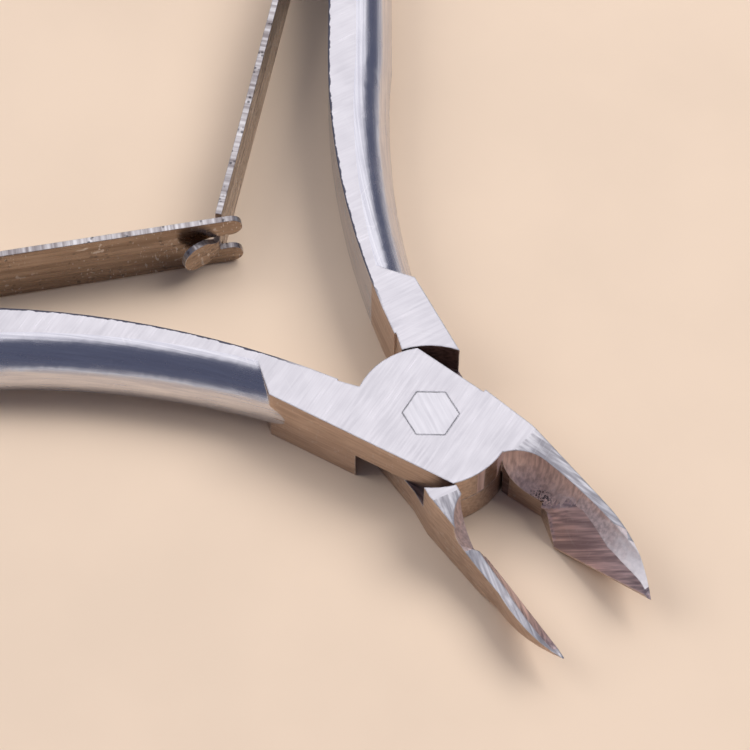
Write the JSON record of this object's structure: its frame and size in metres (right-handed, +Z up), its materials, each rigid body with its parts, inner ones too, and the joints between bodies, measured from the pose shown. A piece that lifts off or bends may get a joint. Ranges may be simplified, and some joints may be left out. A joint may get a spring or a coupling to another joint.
{
  "type": "cuticle nipper",
  "caption": "Half-lap cuticle nipper with open tapering jaws, bowed D-section handles and two interlocked leaf springs.",
  "frame": {"origin": "on the pivot axis, at the flush underside of the lap", "axes": "+X toward the jaws between the handles, +Y to the handle of the lower lever, +Z up, away from the surface it lies on"},
  "size_m": [0.1026, 0.0722, 0.0052],
  "materials": {
    "lever_steel": "satin, finely ground across",
    "rivet_steel": "ground flush with the lap",
    "spring_steel": "rolled, bright blanked edges",
    "screw_steel": "turned"
  },
  "bodies": {
    "lower": {"lower_lever": "lever_steel", "tongue_leaf_screw": "screw_steel"},
    "upper": {"upper_lever": "lever_steel", "pivot_rivet": "rivet_steel", "fork_leaf_screw": "screw_steel"},
    "fork_spring": {"forked_leaf": "spring_steel"},
    "tongue_spring": {"tongued_leaf": "spring_steel"}
  },
  "joints": [
    {"name": "pivot", "type": "hinge", "parent": "lower", "child": "upper", "pos_m": [0, 0, 0], "axis": [0, 0, -1], "range_deg": [0, 21.3], "stiffness_Nm_per_rad": 0.9, "springref_deg": -2.86},
    {"name": "fork_leaf_bend", "type": "hinge", "parent": "upper", "child": "fork_spring", "pos_m": [-0.0425, -0.0275, 0.0026], "axis": [0, 0, -1], "range_deg": [0, 9], "deforming": ["forked_leaf"]},
    {"name": "tongue_leaf_bend", "type": "hinge", "parent": "lower", "child": "tongue_spring", "pos_m": [-0.0425, 0.0275, 0.0026], "axis": [0, 0, 1], "range_deg": [0, 9], "deforming": ["tongued_leaf"]}
  ],
  "couplings": [
    {"joint": "fork_leaf_bend", "follows": "pivot", "ratio": 0.388},
    {"joint": "tongue_leaf_bend", "follows": "pivot", "ratio": 0.388}
  ]
}
